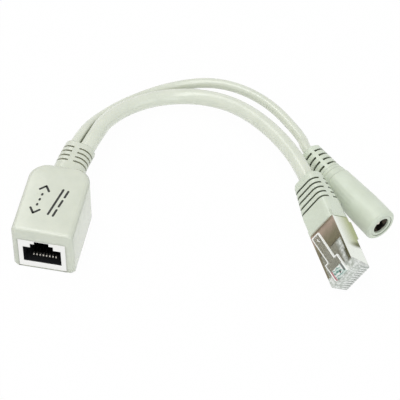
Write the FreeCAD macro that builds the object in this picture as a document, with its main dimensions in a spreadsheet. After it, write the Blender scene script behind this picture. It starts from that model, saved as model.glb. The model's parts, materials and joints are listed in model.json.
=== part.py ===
import FreeCAD, Part
import math
import os
import re

import Sketcher
from FreeCAD import Placement, Rotation, Vector

# Passive power over Ethernet injector lead: one moulded network socket, and two short cords that
# run from it to a shielded network plug and to a barrel power socket.
#
# The network socket stands on z = 0 with its mouth facing -Y and its cords leaving towards +Y. The
# origin is under the middle of its outline. Each group of pieces is drawn in a frame of its own:
# mouth or nose at y = 0, axis along +Y, and is then placed as it lies on the surface.

# Driving dimensions in millimetres, and degrees for the angles.
SIZES = {
    # Socket housing, one soft moulding with its strain relief
    "housing_width": 19.4,
    "housing_height": 18.4,
    "housing_length": 28.0,
    "shoulder_radius": 5.8,
    "edge_bevel": 1.15,
    "front_bevel": 0.7,
    "relief_length": 15.0,
    "relief_turn": 12.0,
    "relief_width": 10.3,
    "relief_depth": 6.9,
    "exit_height": 9.2,
    "relief_first_slot": 7.1,
    "relief_slot_pitch": 1.85,
    "relief_slot_width": 0.55,
    "relief_slot_cut": 0.85,
    "relief_web": 1.8,
    # Network jack inside the housing
    "jack_setback": 0.2,
    "jack_offset": 0.45,
    "seam_gap": 0.08,
    "jack_width": 15.0,
    "jack_height": 12.75,
    "jack_bottom": 0.8,
    "jack_depth": 15.6,
    "can_sheet": 0.25,
    "can_gap": 0.03,
    "mouth_width": 12.0,
    "mouth_height": 6.82,
    "mouth_bottom": 3.4,
    "latch_step_width": 7.3,
    "latch_step_height": 1.7,
    "latch_slot_width": 4.6,
    "latch_slot_height": 1.25,
    "cavity_depth": 12.4,
    "carrier_depth": 2.7,
    "contact_pitch": 1.016,
    "contact_wire": 0.46,
    "contact_sheet": 0.3,
    "contact_channel": 0.62,
    "contact_clear": 0.07,
    "contact_level": 2.3,
    "contact_nose": 3.3,
    "contact_bend": 0.62,
    "contact_rise": 16.5,
    "contact_reach": 11.3,
    "board_width": 14.0,
    "board_height": 11.4,
    "board_sheet": 1.0,
    "tail_beyond": 0.6,
    "tail_room": 0.5,
    # Network plug
    "plug_width": 11.68,
    "plug_height": 6.3,
    "plug_length": 21.6,
    "nose_radius": 0.35,
    "shield_sheet": 0.25,
    "shield_gap": 0.02,
    "shield_top_start": 3.5,
    "shield_flank_start": 1.2,
    "shield_base_start": 8.5,
    "shield_tab_place": 11.3,
    "shield_tab_length": 6.7,
    "shield_tab_width": 3.0,
    "shield_tab_height": 0.8,
    "shield_notch_end": 11.8,
    "shield_strip": 0.7,
    "lever_root": 0.6,
    "lever_rise": 4.25,
    "lever_reach": 15.2,
    "lever_sheet": 0.75,
    "lever_width": 6.1,
    "lever_shoulder": 6.3,
    "lever_tail_width": 3.3,
    "lever_fillet": 0.45,
    "lever_bar": 0.3,
    "lever_bar_length": 0.75,
    "lever_bar_width": 2.3,
    "lever_bar_place": 12.95,
    "blade_sheet": 0.3,
    "blade_slot": 0.38,
    "blade_front": 1.1,
    "blade_length": 5.2,
    "blade_inset": 0.45,
    "blade_notch": 0.22,
    "blade_tooth": 1.45,
    "blade_notch_slope": 0.6,
    "comb_height": 1.5,
    "plug_wire": 0.96,
    "plug_wire_pitch": 1.02,
    "wire_tunnel": 1.0,
    "wire_level": 0.35,
    "wire_front": 1.6,
    "cable_hall_start": 12.0,
    # Boot behind the network plug
    "boot_start": 19.8,
    "boot_width": 12.1,
    "boot_height": 7.7,
    "boot_straight": 7.0,
    "boot_length": 19.4,
    "boot_tail_width": 10.1,
    "boot_tail_height": 7.1,
    "boot_corner": 1.9,
    "boot_tail_corner": 2.9,
    "boot_tail_round": 0.9,
    "boot_tail_bevel": 0.27,
    "boot_seat": 2.2,
    "boot_first_groove": 8.0,
    "boot_groove_pitch": 2.0,
    "boot_groove_width": 0.65,
    "boot_groove_cut": 0.8,
    "boot_web": 1.8,
    # Barrel power socket
    "barrel_radius": 5.42,
    "barrel_straight": 9.0,
    "barrel_length": 22.5,
    "barrel_tail_radius": 4.7,
    "collar_length": 2.4,
    "collar_radius": 4.3,
    "ring_cut": 0.2,
    "tail_length": 12.1,
    "tail_radius": 3.85,
    "barrel_bevel": 0.6,
    "face_ring_radius": 3.9,
    "face_step": 0.15,
    "lip_radius": 2.85,
    "lip_length": 0.7,
    "core_radius": 3.75,
    "core_length": 13.0,
    "core_gap": 0.03,
    "bore_radius": 2.82,
    "bore_depth": 9.6,
    "pin_radius": 1.0,
    "pin_root_radius": 0.7,
    "pin_setback": 1.5,
    "spring_sheet": 0.25,
    "spring_width": 1.6,
    "spring_bow": 0.6,
    "spring_start": 2.6,
    "spring_seat": 0.3,
    "tail_first_slot": 27.6,
    "tail_slot_pitch": 2.24,
    "tail_slot_width": 0.7,
    "tail_slot_cut": 0.9,
    "tail_web": 1.2,
    "tail_web_turn": 15.0,
    # Cords
    "data_cord_diameter": 5.2,
    "power_cord_diameter": 3.4,
    "cord_gap": 0.12,
    # Where the plug and the power socket lie, from the middle of the block's front
    "plug_right": 94.1,
    "plug_back": 10.61,
    "plug_up": 6.66,
    "plug_yaw": 29.07,
    "plug_tilt": 3.47,
    "plug_roll": -55.99,
    "barrel_right": 100.45,
    "barrel_back": 33.7,
    "barrel_yaw": 46.4,
}
CONTACTS = 8
RELIEF_SLOTS = 4
BOOT_GROOVES = 5
TAIL_SLOTS = 4
CORNER_STEPS = 4
BARREL_SIDES = 24
WIRE_SIDES = 12
CORD_SIDES = 12
OVERCUT = 2.0
HALF_TURN = 180.0
SAME_PLACE = 1e-4

# Free points of each cord, measured from the middle of the block's front. The ends come
# from the pieces that hold them.
DATA_ROUTE = [
    (5.0, 50.3, 9.2),
    (6.2, 57.8, 7.7),
    (11.4, 67.2, 5.5),
    (20.4, 75.1, 3.8),
    (33.6, 77.8, 4.4),
    (47.6, 73.4, 7.2),
    (61.0, 63.1, 9.1),
    (71.4, 51.3, 9.5),
]
POWER_ROUTE = [
    (0.4, 50.8, 9.2),
    (2.8, 60.6, 5.0),
    (9.8, 72.3, 2.2),
    (23.4, 82.2, 2.6),
    (39.2, 85.7, 4.4),
    (54.8, 80.1, 5.0),
    (67.0, 70.1, 4.7),
    (69.4, 63.4, 5.4),
]

DOC = FreeCAD.newDocument("InjectorLead")
SHEET = DOC.addObject("Spreadsheet::Sheet", "Sizes")
PIECES = []


def fill_sheet():
    """Write each driving dimension to its own cell under its own alias."""
    for row, (alias, number) in enumerate(SIZES.items(), start=1):
        SHEET.set(f"A{row}", alias)
        SHEET.set(f"B{row}", str(number))
        SHEET.setAlias(f"B{row}", alias)
    DOC.recompute()


def cells(text):
    """Turn plain size names into references to the sheet."""
    return re.sub(r"[a-z_]+", lambda found: f"Sizes.{found[0]}" if found[0] in SIZES else found[0], text)


def value(text):
    """Work out an expression of sizes as a number."""
    return float(SHEET.evalExpression(cells(text)))


def bind(thing, name, text):
    """Bind one property of a document object to an expression of sizes."""
    thing.setExpression(name, cells(text))


# Places that several pieces share
SOCKET_MIDDLE = (
    "(housing_length + (relief_length * 180 / pi / relief_turn + relief_width / 2) * sin(relief_turn)) / 2"
)
JACK_TOP = "(jack_bottom + jack_height)"
MOUTH_TOP = "(mouth_bottom + mouth_height)"
CARRIER_FRONT = "(can_sheet + can_gap + cavity_depth)"
BOARD_FRONT = "(jack_depth + can_gap)"
BOARD_BACK = f"({BOARD_FRONT} + board_sheet)"
TAIL_TIP = f"({BOARD_BACK} + tail_beyond)"
BOOT_END = "(boot_start + boot_length)"
BARREL_END = "(barrel_length + collar_length + tail_length)"


def plane(body, role):
    """Find one of a body's own origin planes."""
    return next(feature for feature in body.Origin.OriginFeatures if feature.Role == role)


def new_body(name):
    """Start a body that becomes one node."""
    body = DOC.addObject("PartDesign::Body", name)
    body.Label = name
    PIECES.append(body)
    return body


def sketch_on(body, name, role, offset="0"):
    """Add a sketch on an origin plane, moved along the plane's normal."""
    sketch = body.newObject("Sketcher::SketchObject", f"{body.Name}_{name}")
    sketch.AttachmentSupport = [(plane(body, role), "")]
    sketch.MapMode = "FlatFace"
    bind(sketch, "AttachmentOffset.Base.z", offset)
    return sketch


def front_sketch(body, name, depth="0"):
    """Add a sketch that faces the mouth, at a depth behind it: across is x, up is z."""
    return sketch_on(body, name, "XZ_Plane", f"-({depth})")


def side_sketch(body, name):
    """Add a sketch on the middle plane seen from +X: along the axis is x, up is y."""
    return sketch_on(body, name, "YZ_Plane")


def fix(sketch, edge, end, across, up):
    """Tie one point of a sketch to two expressions of sizes."""
    for kind, text in (("DistanceX", across), ("DistanceY", up)):
        number = sketch.addConstraint(Sketcher.Constraint(kind, -1, 1, edge, end, value(text)))
        sketch.setExpression(f"Constraints[{number}]", cells(text))


def outline(sketch, corners):
    """Draw a closed outline whose corners are pairs of expressions."""
    first = sketch.GeometryCount
    points = [Vector(value(across), value(up), 0) for across, up in corners]
    for start, end in zip(points, points[1:] + points[:1]):
        sketch.addGeometry(Part.LineSegment(start, end))
    for index, (across, up) in enumerate(corners):
        before = first + (index - 1) % len(corners)
        sketch.addConstraint(Sketcher.Constraint("Coincident", before, 2, first + index, 1))
        fix(sketch, first + index, 1, across, up)


def rectangle(sketch, left, right, low, high):
    """Draw a rectangle between four expressions."""
    outline(sketch, [(left, low), (right, low), (right, high), (left, high)])


def circle(sketch, across, up, radius):
    """Draw a circle with its centre and radius tied to sizes."""
    centre = Vector(value(across), value(up), 0)
    edge = sketch.addGeometry(Part.Circle(centre, Vector(0, 0, 1), value(radius)))
    fix(sketch, edge, 3, across, up)
    number = sketch.addConstraint(Sketcher.Constraint("Radius", edge, value(radius)))
    sketch.setExpression(f"Constraints[{number}]", cells(radius))


def arc_points(centre, radius, start, sweep, steps):
    """Give points at equal steps along an arc, both ends included. Angles are in degrees."""
    turns = [math.radians(start + sweep * step / steps) for step in range(steps + 1)]
    return [centre + Vector(math.cos(turn), math.sin(turn), 0) * radius for turn in turns]


def polygon(sketch, points):
    """Join points by straight lines into a closed outline, leaving out those that coincide."""
    for start, end in zip(points[-1:] + points[:-1], points):
        if end.distanceToPoint(start) > SAME_PLACE:
            sketch.addGeometry(Part.LineSegment(start, end))


def many_sided(body, name, depth, centre, radius, sides):
    """Draw a many-sided ring on a front sketch and return the sketch."""
    sketch = front_sketch(body, name, depth)
    polygon(sketch, arc_points(centre, value(radius), 0, 2 * HALF_TURN, sides)[:-1])
    return sketch


def rounded_rectangle(sketch, width, height, corner):
    """Draw a rectangle with softened corners about the middle of a sketch."""
    radius = value(corner)
    right, up = value(width) / 2 - radius, value(height) / 2 - radius
    points = []
    for quarter, (across, along) in enumerate([(right, up), (-right, up), (-right, -up), (right, -up)]):
        start = quarter * HALF_TURN / 2
        points += arc_points(Vector(across, along, 0), radius, start, HALF_TURN / 2, CORNER_STEPS)
    polygon(sketch, points)


def raised(low, high, level):
    """Slide a point up a line as far as a level, if it lies below that level."""
    return low + (high - low) * max(0, (level - low.y) / (high.y - low.y))


def groove_side(sketch, floor, corner, half_web, centre_up, turn):
    """Draw what a groove takes from one side of a section, down to a soft-cornered floor.

    The floor is given by its half sizes along and across the line through the two webs, and turn is
    the angle of that line. The groove ends half a web's width from the line.
    """
    along, across = floor
    out, up = along + OVERCUT, across + OVERCUT
    quarter = HALF_TURN / 2
    left, right = Vector(corner - along, across - corner, 0), Vector(along - corner, across - corner, 0)
    line = arc_points(left, corner, HALF_TURN, -quarter, CORNER_STEPS)
    line += arc_points(right, corner, quarter, -quarter, CORNER_STEPS)
    line[0], line[-1] = raised(line[0], line[1], half_web), raised(line[-1], line[-2], half_web)
    line += [Vector(*place, 0) for place in (
        (line[-1].x, half_web), (out, half_web), (out, up), (-out, up), (-out, half_web),
        (line[0].x, half_web),
    )]
    turned_by = Rotation(Vector(0, 0, 1), turn)
    polygon(sketch, [Vector(0, centre_up, 0) + turned_by.multVec(point) for point in line])


def grow_back(body, sketch, length):
    """Pad a front sketch backwards, away from the mouth."""
    pad = body.newObject("PartDesign::Pad", f"{sketch.Name}_pad")
    pad.Profile = sketch
    pad.Reversed = True
    bind(pad, "Length", length)
    return pad


def grow_wide(body, sketch, width):
    """Pad a side sketch equally to both sides."""
    pad = body.newObject("PartDesign::Pad", f"{sketch.Name}_pad")
    pad.Profile = sketch
    pad.SideType = "Symmetric"
    bind(pad, "Length", width)
    return pad


def loft_through(body, name, sections):
    """Join sections by straight-sided skins."""
    loft = body.newObject("PartDesign::AdditiveLoft", name)
    loft.Profile = sections[0]
    loft.Sections = sections[1:]
    loft.Ruled = True


def cut_back(body, sketch, length):
    """Cut a front sketch backwards, away from the mouth."""
    pocket = body.newObject("PartDesign::Pocket", f"{sketch.Name}_cut")
    pocket.Profile = sketch
    bind(pocket, "Length", length)
    return pocket


def cut_groove(body, sketch, width):
    """Cut a front sketch equally to both sides of its own plane."""
    pocket = cut_back(body, sketch, width)
    pocket.SideType = "Symmetric"


def cut_wide(body, sketch, width):
    """Cut a side sketch equally to both sides."""
    pocket = body.newObject("PartDesign::Pocket", f"{sketch.Name}_cut")
    pocket.Profile = sketch
    pocket.SideType = "Symmetric"
    bind(pocket, "Length", width)
    return pocket


def soften(body, kind, name, size, wanted):
    """Fillet or chamfer those edges of the body's last feature that pass a test."""
    DOC.recompute()
    base = body.Tip
    names = [f"Edge{number}" for number, edge in enumerate(base.Shape.Edges, start=1) if wanted(edge)]
    feature = body.newObject(f"PartDesign::{kind}", f"{body.Name}_{name}")
    feature.Base = (base, names)
    bind(feature, {"Fillet": "Radius", "Chamfer": "Size"}[kind], size)
    DOC.recompute()


def lies_at(edge, axis, place):
    """Say whether an edge lies wholly at one place along an axis."""
    box = edge.BoundBox
    low, high = {"x": (box.XMin, box.XMax), "y": (box.YMin, box.YMax), "z": (box.ZMin, box.ZMax)}[axis]
    return abs(low - place) < SAME_PLACE and abs(high - place) < SAME_PLACE


def turned(name, corners):
    """Turn a body about the Y axis from an outline of radius and length."""
    body = new_body(name)
    sketch = sketch_on(body, "half", "XY_Plane")
    outline(sketch, corners)
    revolution = body.newObject("PartDesign::Revolution", f"{name}_turn")
    revolution.Profile = sketch
    revolution.ReferenceAxis = (sketch, ["V_Axis"])
    revolution.Angle = 2 * HALF_TURN
    return body


def contact_place(index, pitch):
    """Give the sideways place of one of the eight contacts, counted from the left."""
    return f"{index - (CONTACTS - 1) / 2} * {pitch}"


def mouth_outline(sketch, slot_top):
    """Draw the stepped mouth of a network jack, latch slot upwards."""
    step = f"({MOUTH_TOP} + latch_step_height)"
    right = [
        ("mouth_width / 2", "mouth_bottom"),
        ("mouth_width / 2", MOUTH_TOP),
        ("latch_step_width / 2", MOUTH_TOP),
        ("latch_step_width / 2", step),
        ("latch_slot_width / 2", step),
        ("latch_slot_width / 2", slot_top),
    ]
    left = [(f"-{across}", up) for across, up in reversed(right)]
    outline(sketch, right + left)


def jack_block(body, name, wall, front):
    """Start a block inside the jack's outline, a wall's thickness in from it."""
    sketch = front_sketch(body, name, front)
    half = f"(jack_width / 2 - ({wall}))"
    rectangle(sketch, f"-{half}", half, f"jack_bottom + {wall}", f"{JACK_TOP} - ({wall})")
    return sketch


def contact_holes(sketch):
    """Draw the eight holes that the contact tails pass through."""
    half = "(contact_wire / 2 + can_gap)"
    rise = "(contact_sheet / 2 + can_gap)"
    for index in range(CONTACTS):
        middle = contact_place(index, "contact_pitch")
        rectangle(
            sketch, f"{middle} - {half}", f"{middle} + {half}",
            f"contact_level - {rise}", f"contact_level + {rise}",
        )


def make_housing():
    """Mould the socket housing: a rounded block, its bent strain relief and the seat of the jack."""
    body = new_body("socket_housing")
    sketch = front_sketch(body, "block")
    rectangle(sketch, "-housing_width / 2", "housing_width / 2", "0", "housing_height")
    grow_back(body, sketch, "housing_length")
    length, height = value("housing_length"), value("housing_height")
    soften(
        body, "Fillet", "shoulders", "shoulder_radius",
        lambda edge: lies_at(edge, "y", length) and edge.BoundBox.ZLength > height / 2,
    )
    for name, level in (("top_edges", height), ("base_edges", 0)):
        soften(
            body, "Chamfer", name, "edge_bevel",
            lambda edge, level=level: lies_at(edge, "z", level) and not lies_at(edge, "y", 0),
        )
    soften(body, "Chamfer", "front_edges", "front_bevel", lambda edge: lies_at(edge, "y", 0))
    add_relief(body)
    seat = front_sketch(body, "seat", "-seam_gap")
    rectangle(
        seat,
        "-(jack_width / 2 + seam_gap) - jack_offset", "jack_width / 2 + seam_gap - jack_offset",
        "jack_bottom - seam_gap", f"{JACK_TOP} + seam_gap",
    )
    cut_back(body, seat, f"jack_setback + {TAIL_TIP} + tail_room + seam_gap")
    return body


def relief_bend():
    """Give the radius in millimetres of the strain relief's middle line."""
    return value("relief_length * 180 / pi / relief_turn")


def relief_pose(along):
    """Place a cross-section at a length along the bent strain relief, in the sketch's own frame."""
    bend = relief_bend()
    turn = along / bend
    offset = Vector(bend * (1 - math.cos(turn)), 0, -value("housing_length") - bend * math.sin(turn))
    return Placement(offset, Rotation(Vector(0, 1, 0), -math.degrees(turn)))


def relief_section(sketch):
    """Draw the strain relief's flat-sided oval."""
    radius, steps = value("relief_depth / 2"), 2 * CORNER_STEPS
    flat, up = value("relief_width / 2") - radius, value("exit_height")
    right = arc_points(Vector(flat, up, 0), radius, -HALF_TURN / 2, HALF_TURN, steps)
    left = arc_points(Vector(-flat, up, 0), radius, HALF_TURN / 2, HALF_TURN, steps)
    polygon(sketch, right + left)


def add_relief(body):
    """Bend the oval strain relief and cut its rows of slots, left and right of a web."""
    root = front_sketch(body, "relief_root", "housing_length - shoulder_radius")
    relief_section(root)
    grow_back(body, root, "shoulder_radius")
    section = front_sketch(body, "relief_oval", "housing_length")
    relief_section(section)
    bend = relief_bend()
    section.addGeometry(Part.LineSegment(Vector(bend, 0, 0), Vector(bend, bend, 0)), True)
    turn = body.newObject("PartDesign::Revolution", "relief_turn")
    turn.Profile = section
    turn.ReferenceAxis = (section, ["Axis0"])
    turn.Reversed = True
    bind(turn, "Angle", "relief_turn")
    deep = value("relief_depth / 2 - relief_slot_cut")
    floor = (deep, value("relief_width / 2 - relief_slot_cut"))
    for row in range(RELIEF_SLOTS):
        slot = front_sketch(body, f"relief_slot_{row + 1}")
        slot.setExpression("AttachmentOffset.Base.z", None)
        slot.AttachmentOffset = relief_pose(value(f"relief_first_slot + {row} * relief_slot_pitch"))
        for side in (-HALF_TURN / 2, HALF_TURN / 2):
            groove_side(slot, floor, deep, value("relief_web / 2"), value("exit_height"), side)
        cut_groove(body, slot, "relief_slot_width")


def make_jack_shield():
    """Fold the jack's sheet can: a front plate with the stepped mouth and four walls behind it."""
    body = new_body("jack_shield")
    grow_back(body, jack_block(body, "block", "0", "0"), "jack_depth")
    cut_back(body, jack_block(body, "inside", "can_sheet", "can_sheet"), "jack_depth")
    mouth = front_sketch(body, "mouth", "-can_sheet")
    mouth_outline(mouth, f"{MOUTH_TOP} + latch_step_height + latch_slot_height")
    cut_back(body, mouth, "3 * can_sheet")
    return body


def make_jack_body():
    """Mould the jack's insulator: the plug cavity with its latch slot and the contact comb."""
    body = new_body("jack_body")
    wall = "(can_sheet + can_gap)"
    grow_back(body, jack_block(body, "block", wall, wall), "cavity_depth")
    mouth = front_sketch(body, "mouth")
    mouth_outline(mouth, JACK_TOP)
    cut_back(body, mouth, "jack_depth")
    comb = front_sketch(body, "comb", "contact_nose - contact_bend - contact_sheet - contact_clear")
    for index in range(CONTACTS):
        middle = contact_place(index, "contact_pitch")
        rectangle(
            comb,
            f"{middle} - contact_channel / 2", f"{middle} + contact_channel / 2",
            "contact_level - contact_sheet / 2 - contact_clear", "mouth_bottom + contact_clear",
        )
    cut_back(body, comb, "jack_depth")
    return body


def make_contact_carrier():
    """Mould the block behind the plug cavity that grips the contact tails."""
    body = new_body("contact_carrier")
    block = jack_block(body, "block", "(can_sheet + can_gap)", CARRIER_FRONT)
    contact_holes(block)
    grow_back(body, block, "carrier_depth")
    return body


def make_circuit_board():
    """Cut the small board where the contact tails and the cord conductors are soldered."""
    body = new_body("circuit_board")
    sketch = front_sketch(body, "blank", BOARD_FRONT)
    low = f"({JACK_TOP} - jack_height / 2 - board_height / 2)"
    rectangle(sketch, "-board_width / 2", "board_width / 2", low, f"{low} + board_height")
    contact_holes(sketch)
    grow_back(body, sketch, "board_sheet")
    return body


def make_jack_contact(index):
    """Bend one flat contact spring: tail, run under the comb, turn at the nose and rising finger."""
    body = new_body(f"jack_contact_{index + 1}")
    strip = sketch_on(body, "strip", "YZ_Plane", contact_place(index, "contact_pitch"))
    level, nose, bend = (value(name) for name in ("contact_level", "contact_nose", "contact_bend"))
    rise = math.radians(value("contact_rise"))
    centre = Vector(nose, level + bend, 0)
    reach, half = value("contact_reach"), value("contact_sheet") / 2
    ends = []
    for radius in (bend - half, bend + half):
        tail = Vector(value(TAIL_TIP), level + bend - radius, 0)
        low = Vector(nose, tail.y, 0)
        high = centre + Vector(-math.sin(rise), math.cos(rise), 0) * radius
        tip = Vector(reach, high.y + (reach - high.x) * math.tan(rise), 0)
        ring = Part.Circle(centre, Vector(0, 0, 1), radius)
        strip.addGeometry(Part.LineSegment(tail, low))
        strip.addGeometry(Part.ArcOfCircle(ring, math.pi / 2 + rise, 3 * math.pi / 2))
        strip.addGeometry(Part.LineSegment(high, tip))
        ends.append((tail, tip))
    for first, second in zip(*ends):
        strip.addGeometry(Part.LineSegment(first, second))
    grow_wide(body, strip, "contact_wire")
    return body


def lever_top(along):
    """Give the height of the latch lever's upper face at a length behind the nose."""
    start = "blade_front / 2"
    rise = f"lever_rise * ({along} - {start}) / (lever_reach - {start})"
    return f"(plug_height / 2 + lever_root + {rise})"


def make_plug_body():
    """Mould the clear plug: comb and blade slots, wire tunnel, stepped flanks and latch lever."""
    body = new_body("plug_body")
    skin = "(shield_sheet + shield_gap)"
    top, low = "plug_height / 2", "-plug_height / 2"
    lean = "(shield_top_start - shield_flank_start) / plug_height"
    core = side_sketch(body, "core")
    outline(core, [
        ("0", low), ("shield_base_start - shield_gap", low),
        ("shield_base_start - shield_gap", f"{low} + {skin}"), ("plug_length", f"{low} + {skin}"),
        ("plug_length", f"{top} - {skin}"),
        (f"shield_top_start - shield_gap - {skin} * {lean}", f"{top} - {skin}"),
        ("shield_top_start - shield_gap", top), ("0", top),
    ])
    grow_wide(body, core, f"plug_width - 2 * {skin}")
    nose = side_sketch(body, "nose")
    outline(nose, [
        ("0", low), ("shield_flank_start - shield_gap", low),
        ("shield_top_start - shield_gap", top), ("0", top),
    ])
    grow_wide(body, nose, "plug_width")
    soften(body, "Fillet", "nose_edges", "nose_radius", lambda edge: lies_at(edge, "y", 0))
    add_lever(body)
    cut_blade_slots(body)
    tunnel = front_sketch(body, "tunnel", "wire_front")
    half = "(plug_wire_pitch * 4)"
    rectangle(tunnel, f"-{half}", half, "wire_level - wire_tunnel / 2", "wire_level + wire_tunnel / 2")
    cut_back(body, tunnel, "plug_length")
    hall = front_sketch(body, "cable_hall", "cable_hall_start")
    hall_top = f"{top} - {skin} - 2 * shield_sheet"
    rectangle(hall, f"-{half} - shield_sheet", f"{half} + shield_sheet", f"-({hall_top})", hall_top)
    cut_back(body, hall, "plug_length")
    return body


def add_lever(body):
    """Add the sprung latch lever that rises from the nose over the top of the plug."""
    root = "blade_front / 2"
    heel = f"({root} + 2 * lever_sheet)"
    foot = "plug_height / 2 - nose_radius"
    for name, reach, width in (
        ("lever_wide", "lever_shoulder", "lever_width"),
        ("lever_tail", "lever_reach", "lever_tail_width"),
    ):
        lever = side_sketch(body, name)
        outline(lever, [
            (root, foot), (root, lever_top(root)), (reach, lever_top(reach)),
            (reach, f"{lever_top(reach)} - lever_sheet"),
            (heel, f"{lever_top(heel)} - lever_sheet"), (f"{heel} - lever_fillet", foot),
        ])
        grow_wide(body, lever, width)
    bar = side_sketch(body, "lever_bar")
    start, end = "lever_bar_place", "(lever_bar_place + lever_bar_length)"
    outline(bar, [
        (start, f"{lever_top(start)} - lever_bar"), (start, f"{lever_top(start)} + lever_bar"),
        (end, f"{lever_top(end)} + lever_bar"), (end, f"{lever_top(end)} - lever_bar"),
    ])
    grow_wide(body, bar, "lever_bar_width")


def cut_blade_slots(body):
    """Cut the eight slots for the blades: shallow ones open at the nose, deep ones up to the wires."""
    tunnel_floor = "(wire_level - wire_tunnel / 2)"
    for name, start, cut in (
        ("comb", "-blade_front", "comb_height"),
        ("blade_slots", "blade_front - shield_gap", f"{tunnel_floor} + plug_height / 2 + shield_gap"),
    ):
        slots = sketch_on(body, name, "XY_Plane", "-plug_height / 2")
        for index in range(CONTACTS):
            middle = contact_place(index, "plug_wire_pitch")
            rectangle(
                slots,
                f"{middle} - blade_slot / 2", f"{middle} + blade_slot / 2",
                start, "blade_front + blade_length + shield_gap",
            )
        pocket = cut_back(body, slots, cut)
        pocket.Reversed = True


def make_plug_blade(index):
    """Stamp one gold contact blade, which stands in its slot and bears on its wire."""
    body = new_body(f"plug_blade_{index + 1}")
    sketch = sketch_on(body, "face", "YZ_Plane", contact_place(index, "plug_wire_pitch"))
    low, high = "-plug_height / 2 + blade_inset", "wire_level - plug_wire / 2 - shield_gap"
    front, back, notch = "blade_front", "(blade_front + blade_length)", f"({high} - blade_notch)"
    outline(sketch, [
        (front, low), (back, low), (back, high), (f"{back} - blade_tooth", high),
        (f"{back} - blade_tooth - blade_notch_slope", notch),
        (f"{front} + blade_tooth + blade_notch_slope", notch),
        (f"{front} + blade_tooth", high), (front, high),
    ])
    grow_wide(body, sketch, "blade_sheet")
    return body


def make_plug_wire(index):
    """Draw one insulated conductor, which lies in the plug's wire tunnel."""
    body = new_body(f"plug_wire_{index + 1}")
    centre = Vector(value(contact_place(index, "plug_wire_pitch")), value("wire_level"), 0)
    sketch = many_sided(
        body, "section", "wire_front + shield_gap", centre, "plug_wire / 2", WIRE_SIDES
    )
    grow_back(body, sketch, "plug_length - wire_front - shield_gap")
    return body


def make_plug_shield():
    """Fold the plug's sheet shield, with slanted flanks, an open front of the base and a raised tab."""
    body = new_body("plug_shield")
    top, side = "plug_height / 2", "plug_width / 2"
    sleeve = front_sketch(body, "sleeve")
    rectangle(sleeve, f"-{side}", side, f"-{top}", top)
    inner_side, inner_top = f"({side} - shield_sheet)", f"({top} - shield_sheet)"
    rectangle(sleeve, f"-{inner_side}", inner_side, f"-{inner_top}", inner_top)
    grow_back(body, sleeve, "plug_length")
    tab = sketch_on(body, "tab", "XY_Plane", f"-{top}")
    rectangle(
        tab, f"{side} - shield_tab_width", side,
        "shield_tab_place", "shield_tab_place + shield_tab_length",
    )
    pad = grow_back(body, tab, "shield_tab_height")
    pad.Reversed = True
    front = side_sketch(body, "front")
    outline(front, [
        ("-1", f"{top} + 1"), ("shield_top_start", f"{top} + 1"), ("shield_top_start", top),
        ("shield_flank_start", f"-{top}"), ("shield_flank_start", f"-{top} - 1"), ("-1", f"-{top} - 1"),
    ])
    cut_wide(body, front, "2 * plug_width")
    base = front_sketch(body, "base")
    rectangle(base, f"-{inner_side}", inner_side, f"-{top} - 1", f"-{inner_top} + shield_gap")
    cut_back(body, base, "shield_base_start")
    notch = front_sketch(body, "notch")
    half = f"({side} - shield_strip)"
    rectangle(notch, f"-{half}", half, f"{inner_top} - shield_gap", f"{top} + 1")
    cut_back(body, notch, "shield_notch_end")
    return body


def boot_floor(row, size):
    """Give half the boot's width or height at the floor of one groove, along the boot's taper."""
    along = f"(boot_first_groove + {row} * boot_groove_pitch - boot_straight)"
    share = f"({along} / (boot_length - boot_straight))"
    return value(f"(boot_{size} + (boot_tail_{size} - boot_{size}) * {share}) / 2 - boot_groove_cut")


def make_plug_boot():
    """Mould the tapered boot behind the plug and cut its grooves, above and below two side webs."""
    body = new_body("plug_boot")
    sections = []
    full, part = "boot_tail_round", "boot_tail_bevel"
    for name, depth, width, height, corner in (
        ("front", "boot_start", "boot_width", "boot_height", "boot_corner"),
        ("waist", "boot_start + boot_straight", "boot_width", "boot_height", "boot_corner"),
        ("tail", f"{BOOT_END} - {full}", "boot_tail_width", "boot_tail_height", "boot_tail_corner"),
        ("bevel", f"{BOOT_END} - {part}", f"boot_tail_width - 2 * {part}",
         f"boot_tail_height - 2 * {part}", f"boot_tail_corner - {part}"),
        ("end", BOOT_END, f"boot_tail_width - 2 * {full}", f"boot_tail_height - 2 * {full}",
         f"boot_tail_corner - {full}"),
    ):
        sketch = front_sketch(body, name, depth)
        rounded_rectangle(sketch, width, height, corner)
        sections.append(sketch)
    loft_through(body, "boot_loft", sections)
    seat = front_sketch(body, "seat", "boot_start")
    half, top = "(plug_width / 2 + shield_gap)", "(plug_height / 2 + shield_gap)"
    rectangle(seat, f"-{half}", half, f"-{top}", top)
    cut_back(body, seat, "boot_seat")
    corner = value("boot_tail_corner - boot_groove_cut")
    for row in range(BOOT_GROOVES):
        groove = front_sketch(
            body, f"groove_{row + 1}", f"boot_start + boot_first_groove + {row} * boot_groove_pitch"
        )
        floor = (boot_floor(row, "width"), boot_floor(row, "height"))
        for side in (0, HALF_TURN):
            groove_side(groove, floor, corner, value("boot_web / 2"), 0, side)
        cut_groove(body, groove, "boot_groove_width")
    return body


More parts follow.
